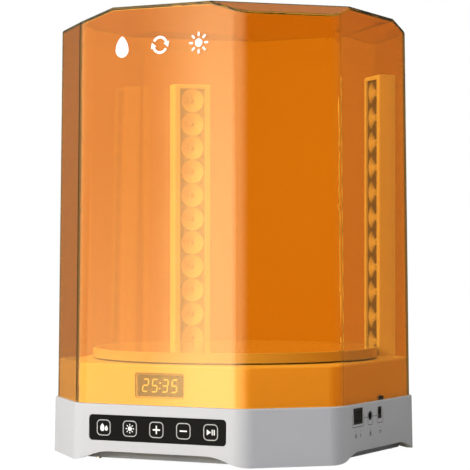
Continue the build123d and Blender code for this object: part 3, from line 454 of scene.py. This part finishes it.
def droplet(cx, cy, width, height, steps=48):
    """A water drop: round below, drawn to a point above."""
    points = []
    radius = width / 2
    for i in range(steps):
        a = -math.pi / 2 + 2 * math.pi * i / steps
        x, y = math.cos(a), math.sin(a)
        if y > 0:
            x *= math.cos(math.pi / 2 * y) ** DROP_TAPER if y < 1 else 0.0
            y *= (height - radius) / radius
        points.append((cx + radius * x, cy - height / 2 + radius + radius * y))
    return points


SUN_RAYS = 8


def sun(cx, cy, disc, inner, outer, width):
    """A disc with rays that run from inner to outer."""
    shapes = [ring_of(cx, cy, disc)]
    middle = (inner + outer) / 2
    for i in range(SUN_RAYS):
        a = 2 * math.pi * i / SUN_RAYS
        x, y = cx + middle * math.cos(a), cy + middle * math.sin(a)
        shapes.append(bar(x, y, outer - inner, width, a))
    return shapes


def arc_band(cx, cy, radius, width, start, end, steps=40):
    """A band of an arc, from start to end degrees."""
    angles = [math.radians(start + (end - start) * i / steps) for i in range(steps + 1)]
    edges = []
    for r in (radius + width / 2, radius - width / 2):
        edges.append([(cx + r * math.cos(a), cy + r * math.sin(a)) for a in angles])
    outer, inner = edges
    return outer + inner[::-1]


def arrow_head(cx, cy, radius, angle, half, length):
    """A triangle at an arc's starting angle that points on clockwise."""
    c, s = math.cos(math.radians(angle)), math.sin(math.radians(angle))
    corners = [(radius - half, 0), (radius, -length), (radius + half, 0)]
    return [(cx + x * c - y * s, cy + x * s + y * c) for x, y in corners]


DRAWN_THICK = 1.0  # drawings are made this thick, then scaled to their real thickness


def filled(outlines):
    """A thin slab inside closed outlines in millimetres; an outline inside another is a hole."""
    curve = bpy.data.curves.new("outline", "CURVE")
    curve.dimensions = "2D"
    curve.fill_mode = "BOTH"
    curve.extrude = DRAWN_THICK / 2
    for outline in outlines:
        spline = curve.splines.new("POLY")
        spline.points.add(len(outline) - 1)
        for point, (x, y) in zip(spline.points, outline):
            point.co = (x, y, 0, 1)
        spline.use_cyclic_u = True
    holder = bpy.data.objects.new("outline", curve)
    bpy.context.scene.collection.objects.link(holder)
    mesh = bpy.data.meshes.new_from_object(holder)
    bpy.data.objects.remove(holder)
    return mesh


def inlay(name, shapes, place, thick, material, body):
    """Lays flat shapes on a surface; a tuple of outlines is one shape with holes."""
    joined = bmesh.new()
    for shape in shapes:
        mesh = filled(shape if isinstance(shape, tuple) else (shape,))
        joined.from_mesh(mesh)
        bpy.data.meshes.remove(mesh)
    bmesh.ops.translate(joined, vec=(0, 0, DRAWN_THICK / 2), verts=joined.verts)
    bmesh.ops.scale(joined, vec=(MM, MM, thick * MM), verts=joined.verts)
    bmesh.ops.transform(joined, matrix=place, verts=joined.verts)
    mesh = bpy.data.meshes.new(name)
    joined.to_mesh(mesh)
    joined.free()
    mesh.materials.append(material)
    piece = bpy.data.objects.new(name, mesh)
    bpy.context.scene.collection.objects.link(piece)
    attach(piece, body)


def on_front(y):
    """Lays a drawing upright on a face that looks to -Y: x right, drawing's y up."""
    return Matrix(((1, 0, 0, 0), (0, 0, -1, y), (0, 1, 0, 0), (0, 0, 0, 1)))


def on_right(x):
    """Lays a drawing upright on a face that looks to +X: drawing's x runs to +Y."""
    return Matrix(((0, 0, 1, x), (1, 0, 0, 0), (0, 1, 0, 0), (0, 0, 0, 1)))


# ---------------------------------------------------------------- control panel icons
BUTTON_PITCH = 28.6
BUTTON_SIZE = 15.1
BUTTON_RADIUS = 4.2
BUTTON_LINE = 0.85
ICON_THICK = 0.06
BUTTONS = range(-2, 3)  # five, counted from the middle one
WASH_DROPS = ((-1.4, 0.2, 4.7, 7.2), (3.0, -0.5, 3.0, 5.0))  # across, up, width, height
CURE_SUN = (2.1, 2.9, 4.5, 0.8)  # disc, inner and outer end of the rays, and their width
SIGN_SIZE = 7.7
SIGN_LINE = 1.3
PLAY_LEFT, PLAY_TIP, PLAY_HALF = -4.0, 0.3, 2.6
PAUSE_BARS = ((1.6, 0.9), (3.7, 1.2))  # across, width


def panel_icons(materials):
    """The five touch keys' outlines and symbols: wash, cure, more, less, start or pause."""
    low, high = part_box("control_panel")
    middle = (low.z + high.z) / 2 / MM
    place = on_front(low.y)
    centres = [i * BUTTON_PITCH for i in BUTTONS]
    outlines = []
    for centre in centres:
        outlines.append(
            frame_ring(centre, middle, BUTTON_SIZE, BUTTON_SIZE, BUTTON_RADIUS, BUTTON_LINE)
        )
    wash, cure, plus, minus, play = centres
    symbols = []
    for across, up, width, height in WASH_DROPS:
        symbols.append(droplet(wash + across, middle + up, width, height))
    symbols += sun(cure, middle, *CURE_SUN)
    symbols.append(plus_sign(plus, middle, SIGN_SIZE, SIGN_LINE))
    symbols.append(bar(minus, middle, SIGN_SIZE, SIGN_LINE))
    symbols.append(
        [
            (play + PLAY_LEFT, middle - PLAY_HALF),
            (play + PLAY_TIP, middle),
            (play + PLAY_LEFT, middle + PLAY_HALF),
        ]
    )
    for across, width in PAUSE_BARS:
        symbols.append(bar(play + across, middle, width, 2 * PLAY_HALF))
    for name, shapes, ink in (
        ("button_outlines", outlines, "grey_ink"),
        ("button_symbols", symbols, "white_ink"),
    ):
        inlay(name, shapes, place, ICON_THICK, materials[ink], "base")


def plus_sign(cx, cy, size, width):
    """An upright cross's outline."""
    a, b = size / 2, width / 2
    corners = [(a, b), (b, b), (b, a), (-b, a), (-b, b), (-a, b), (-a, -b), (-b, -b)]
    corners += [(-b, -a), (b, -a), (b, -b), (a, -b)]
    return [(cx + x, cy + y) for x, y in corners]


# ---------------------------------------------------------------- display
DIGIT_HEIGHT = 12.7
DIGIT_WIDTH = 6.6
SEGMENT = 1.15
SEGMENT_GAP = 0.25
DIGIT_SLANT = 0.14
DIGIT_SHIFT = -1.3  # the display sits a little left of the window's middle
DIGIT_CENTRES = (-15.4, -5.6, 5.6, 15.4)
TIME_SHOWN = "2535"
SEGMENTS_OF = {"2": "abged", "3": "abgcd", "5": "afgcd"}
COLON_RISE = 2.6
COLON_RADIUS = 0.85
LIT_THICK = 0.08
UNLIT_THICK = 0.05


def segment_shapes():
    """The seven segments of a digit centred on the origin, by letter."""
    w, h, t = DIGIT_WIDTH / 2, DIGIT_HEIGHT / 2, SEGMENT
    gap = SEGMENT_GAP
    flat = [(-w + gap + t / 2, 0), (-w + gap + t, t / 2), (w - gap - t, t / 2)]
    flat += [(w - gap - t / 2, 0), (w - gap - t, -t / 2), (-w + gap + t, -t / 2)]
    length = h - gap
    tall = [(0, length - t / 2), (t / 2, length - t), (t / 2, t / 2 + gap), (0, gap)]
    tall += [(-t / 2, t / 2 + gap), (-t / 2, length - t)]
    return {
        "a": [(x, y + h - t / 2) for x, y in flat],
        "g": flat,
        "d": [(x, y - h + t / 2) for x, y in flat],
        "b": [(x + w - t / 2, y) for x, y in tall],
        "f": [(x - w + t / 2, y) for x, y in tall],
        "c": [(x + w - t / 2, -y) for x, y in tall],
        "e": [(x - w + t / 2, -y) for x, y in tall],
    }


def display_digits(materials):
    """The time on the display: its lit segments and colon, and the unlit ones."""
    low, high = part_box("display_module")
    middle = (low.z + high.z) / 2 / MM
    lit, unlit = [], []
    for centre, digit in zip(DIGIT_CENTRES, TIME_SHOWN):
        for letter, outline in segment_shapes().items():
            left = DIGIT_SHIFT + centre
            placed = [(left + x + DIGIT_SLANT * y, middle + y) for x, y in outline]
            (lit if letter in SEGMENTS_OF[digit] else unlit).append(placed)
    for y in (-COLON_RISE, COLON_RISE):
        lit.append(ring_of(DIGIT_SHIFT + DIGIT_SLANT * y, middle + y, COLON_RADIUS, steps=20))
    place = on_front(low.y)
    inlay("digits_lit", lit, place, LIT_THICK, materials["lit_segment"], "base")
    inlay("digits_unlit", unlit, place, UNLIT_THICK, materials["unlit_segment"], "base")


# ---------------------------------------------------------------- printed marks
PRINT_THICK = 0.05
MARK_SIZE = 20.0
MARK_SPACING = 41.0
MARK_Z = 391.5
COVER_DRAFT = 4.2  # how far the cover's wall leans in from its foot to its top
DROP_WIDTH = 14.0
ARROW_RADIUS = 7.2
ARROW_LINE = 2.4
ARROW_STARTS = (20, 200)
ARROW_SWEEP = 130
ARROW_HEAD = (3.1, 5.2)  # half its width, and its length
MARK_SUN = (3.9, 6.0, MARK_SIZE / 2, 2.0)  # disc, inner and outer end of the rays, their width


def cover_marks(materials):
    """Three plain pictograms high on the cover's front: wash, turn, cure."""
    low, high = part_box("cover")
    lean = COVER_DRAFT / (high.z / MM - low.z / MM)
    shapes = [droplet(-MARK_SPACING, 0, DROP_WIDTH, MARK_SIZE)]
    for start in ARROW_STARTS:
        shapes.append(arc_band(0, 0, ARROW_RADIUS, ARROW_LINE, start, start + ARROW_SWEEP))
        shapes.append(arrow_head(0, 0, ARROW_RADIUS, start, *ARROW_HEAD))
    shapes += sun(MARK_SPACING, 0, *MARK_SUN)
    face = low.y / MM + lean * (MARK_Z - low.z / MM)
    tilt = Matrix.Rotation(-math.atan(lean), 4, "X")
    place = Matrix.Translation((0, face * MM, MARK_Z * MM)) @ tilt @ on_front(0)
    ink = materials["white_ink"]
    inlay("cover_marks", shapes, place, PRINT_THICK, ink, "cover")


# each port: its node, the room left and right of it, how far the bracket drops, and its height
PORT_BRACKETS = (
    ("switch_housing", 3.4, 3.0, 2.8, 12.0),
    ("lamp_socket", 1.4, 1.8, 4.4, 12.0),
    ("power_inlet", 2.2, 3.4, 4.4, 13.0),
)
BRACKET_RADIUS = 1.6
PORT_LINE = 0.55
LINK_DROP = 1.0  # how far below the jack's middle the linking lines run
DOT_Z = 29.6
DOT_SIZE = 0.9
SYMBOL_Z = 25.2
SWITCH_APART = 5.5  # the off and on signs, left and right of the switch's middle
OFF_RING = (2.0, 1.2)  # outer and inner radius
ON_HEIGHT = 3.8
JACK_SUN = (1.3, 1.9, 3.1, 0.7)  # disc, inner and outer end of the rays, their width
SUPPLY_LENGTH, SUPPLY_DASH, SUPPLY_PITCH, SUPPLY_LINE = 5.0, 1.2, 1.9, 0.8
BASE_FLARE = 1.0  # how much further out the base stands at its foot than at its rim
FOOT_EASE = 0.064  # what the rounding of its lower edge takes off its width there


def port_marks(materials):
    """Thin lines that bracket and link the three ports, and plain pictograms under each."""
    shapes, sides = [], []
    for node, left_room, right_room, drop, rise in PORT_BRACKETS:
        low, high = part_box(node)
        left, right = low.y / MM - left_room, high.y / MM + right_room
        bottom = low.z / MM - drop
        shapes.append(
            u_line(left, right, bottom, bottom + rise, BRACKET_RADIUS, PORT_LINE)
        )
        sides.append((left, right))
    jack_low, jack_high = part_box("lamp_socket")
    link_z = (jack_low.z + jack_high.z) / 2 / MM - LINK_DROP
    for (_, start), (stop, _) in zip(sides, sides[1:]):
        length = stop - start + PORT_LINE
        shapes.append(bar((start + stop) / 2, link_z, length, PORT_LINE))
    switch, jack, inlet = [(left + right) / 2 for left, right in sides]
    off, on = switch - SWITCH_APART, switch + SWITCH_APART
    for across in (off, on, jack, inlet):
        shapes.append(bar(across, DOT_Z, DOT_SIZE, DOT_SIZE))
    shapes.append(tuple(ring_of(off, SYMBOL_Z, radius) for radius in OFF_RING))
    shapes.append(bar(on, SYMBOL_Z, DOT_SIZE, ON_HEIGHT))
    shapes += sun(jack, SYMBOL_Z, *JACK_SUN)
    shapes.append(bar(inlet, SYMBOL_Z + SUPPLY_LINE, SUPPLY_LENGTH, SUPPLY_LINE))
    for x in (-SUPPLY_PITCH, 0, SUPPLY_PITCH):
        shapes.append(bar(inlet + x, SYMBOL_Z - SUPPLY_LINE, SUPPLY_DASH, SUPPLY_LINE))
    low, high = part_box("base_housing")
    lean = math.atan(BASE_FLARE * MM / (high.z - low.z))
    foot = high.x + FOOT_EASE * MM
    place = Matrix.Translation((foot, 0, low.z)) @ Matrix.Rotation(-lean, 4, "Y") @ on_right(0)
    place = place @ Matrix.Translation((0, -low.z, 0))
    ink = materials["dark_ink"]
    inlay("port_marks", shapes, place, PRINT_THICK, ink, "base")


def u_line(left, right, bottom, top, radius, line, steps=8):
    """An open bracket: down one side, round two corners and up the other."""

    def path(inset):
        points = [(left + inset, top)]
        for cx, start in ((left + radius, 180), (right - radius, 270)):
            for i in range(steps + 1):
                a = math.radians(start + 90 * i / steps)
                r = radius - inset
                points.append((cx + r * math.cos(a), bottom + radius + r * math.sin(a)))
        points.append((right - inset, top))
        return points

    return path(0) + path(line)[::-1]


# ---------------------------------------------------------------- studio
FLOOR_SIZE = 6.0
FLOOR_GREY = (0.52, 0.52, 0.52, 1)
FLOOR_GLOW = 1.12
FLOOR_SHARE = 0.88  # of the glow in what the camera sees; the rest shows the soft shadow


def add_floor():
    """A plain floor: nearly white to the camera, and grey to what stands on it."""
    size = FLOOR_SIZE
    mesh = bpy.data.meshes.new("floor")
    corners = [(-size, -size, 0), (size, -size, 0), (size, size, 0), (-size, size, 0)]
    mesh.from_pydata(corners, [], [(0, 1, 2, 3)])
    floor = bpy.data.objects.new("floor", mesh)
    bpy.context.scene.collection.objects.link(floor)
    s = Shader("floor")
    tint = s.noise(3.0, detail=2.0)
    grey = s.blend(tint, FLOOR_GREY, tone(FLOOR_GREY, 1.05))
    shade = s.add("ShaderNodeBsdfDiffuse", {"Color": grey})
    glow = s.add("ShaderNodeEmission", {"Color": (1, 1, 1, 1), "Strength": FLOOR_GLOW})
    depth = s.add("ShaderNodeLightPath").outputs["Diffuse Depth"]
    scattered = s.maths("GREATER_THAN", depth, 0.5)
    mix = s.add("ShaderNodeMixShader", {0: s.mixed(scattered, FLOOR_SHARE, 0.0)})
    s.feed(mix.inputs[1], shade.outputs["BSDF"])
    s.feed(mix.inputs[2], glow.outputs["Emission"])
    mesh.materials.append(s.finish(mix.outputs["Shader"]))
    floor.visible_glossy = False
    floor.visible_transmission = False


AIM = Vector((0, 0, 0.2))  # the middle of the station


def add_light(name, place, size, power):
    """A round soft lamp that lights surfaces but shows in no reflection."""
    data = bpy.data.lights.new(name, "AREA")
    data.shape = "DISK"
    data.size = size
    data.energy = power
    light = bpy.data.objects.new(name, data)
    light.location = place
    light.rotation_euler = (AIM - Vector(place)).to_track_quat("-Z", "Y").to_euler()
    bpy.context.scene.collection.objects.link(light)
    light.visible_glossy = False
    light.visible_transmission = False


BACKGROUND = 1.0
WORLD_FILL = 0.47
INSIDE_FILL = 1.4
GLOSS_FILL = 0.2
EDGE_GLOW = 0.8
WHITE = (1, 1, 1, 1)
GLOSS_TINT = (1.0, 0.88, 0.57, 1)
# What the gloss shows, each lobe over the ones before it: azimuth from the front, elevation,
# full inside this angle, none outside that one, and power.
LOBES = (
    (62, 0, 25, 55, 0.05),  # the dark side of the room
    (152, 0, 25, 55, 0.17),  # behind on the right
    (0, 90, 15, 70, 0.7),  # the ceiling
    (-27, -8, 10, 80, 3.1),  # the softbox's glow
    (-27, -8, 4, 22, 7.3),  # the softbox
)
SCREEN = (-90, 2, 59.8, 62, 2.1)  # the softbox's screened left part
SCREEN_FOOT = (-32, -15, 6, 20, 4.1)  # which is brighter at its foot
LEFT_REAR = (-122, 0, 20, 40, 0.3)


class Surroundings(Tree):
    """The world's node tree, with patches of light placed by where they stand."""

    def lobe(self, way, where, outside, inside):
        """A soft-edged round patch of the surroundings, blended over what is outside it."""
        azimuth, elevation, full, none = (math.radians(angle) for angle in where)
        flat = math.cos(elevation)
        centre = (flat * math.sin(azimuth), -flat * math.cos(azimuth), math.sin(elevation))
        dot = self.add("ShaderNodeVectorMath", {0: way, 1: centre}, operation="DOT_PRODUCT")
        inputs = {
            "Value": dot.outputs["Value"],
            "From Min": math.cos(none),
            "From Max": math.cos(full),
        }
        share = self.add("ShaderNodeMapRange", inputs, interpolation_type="SMOOTHSTEP")
        return self.mixed(share.outputs["Result"], outside, inside)

    def gloss(self):
        """What a glossy surface shows of the room in each direction."""
        way = self.add("ShaderNodeTexCoord").outputs["Generated"]
        power = GLOSS_FILL
        for *where, lobe_power in LOBES:
            power = self.lobe(way, where, power, lobe_power)
        *foot, foot_power = SCREEN_FOOT
        *screen, screen_power = SCREEN
        screened = self.lobe(way, foot, screen_power, foot_power)
        power = self.lobe(way, screen, power, screened)
        *rear, rear_power = LEFT_REAR
        return self.lobe(way, rear, power, rear_power)


def add_world():
    """White behind the object, a softbox to the front left in its gloss, and an even fill."""
    world = bpy.data.worlds.new("studio")
    world.use_nodes = True
    s = Surroundings(world.node_tree)
    path = s.add("ShaderNodeLightPath").outputs
    # a ray mirrored inside the cover leaves through its far wall, and meets the white backdrop
    mirrored = s.maths("GREATER_THAN", path["Glossy Depth"], 0.5)
    one_wall = s.maths("LESS_THAN", path["Transmission Depth"], 2.5)
    in_gloss = s.maths("MULTIPLY", mirrored, one_wall)
    power = s.mixed(in_gloss, BACKGROUND, s.gloss())
    # light that is trapped in the walls' edges comes out dim
    trapped = s.maths("GREATER_THAN", path["Glossy Depth"], 1.5)
    power = s.mixed(trapped, power, EDGE_GLOW)
    # what stands inside is filled by light that the amber walls have coloured
    scattered = s.maths("GREATER_THAN", path["Diffuse Depth"], 0.5)
    through = s.maths("GREATER_THAN", path["Transmission Depth"], 0.5)
    power = s.mixed(scattered, power, s.mixed(through, WORLD_FILL, INSIDE_FILL))
    colour = s.blend(in_gloss, WHITE, GLOSS_TINT)
    sky = s.add("ShaderNodeBackground", {"Color": colour, "Strength": power})
    s.add("ShaderNodeOutputWorld", {"Surface": sky.outputs["Background"]})
    bpy.context.scene.world = world


def light_studio():
    add_world()
    add_floor()
    add_light("key", place=(-1.3, -2.6, 1.3), size=1.4, power=96)
    add_light("top", place=(0.2, 0.2, 2.6), size=1.8, power=23)


# ---------------------------------------------------------------- build
def light_paths():
    """Bounces enough for light to pass both walls of the cover and what stands inside."""
    scene = bpy.context.scene
    scene.view_settings.view_transform = "Standard"
    scene.cycles.max_bounces = 20
    scene.cycles.glossy_bounces = 14
    scene.cycles.transmission_bounces = 16
    scene.cycles.transparent_max_bounces = 24


def main():
    materials = build_materials()
    dress_nodes(materials)
    panel_icons(materials)
    display_digits(materials)
    cover_marks(materials)
    port_marks(materials)
    light_studio()
    add_camera()
    light_paths()


main()
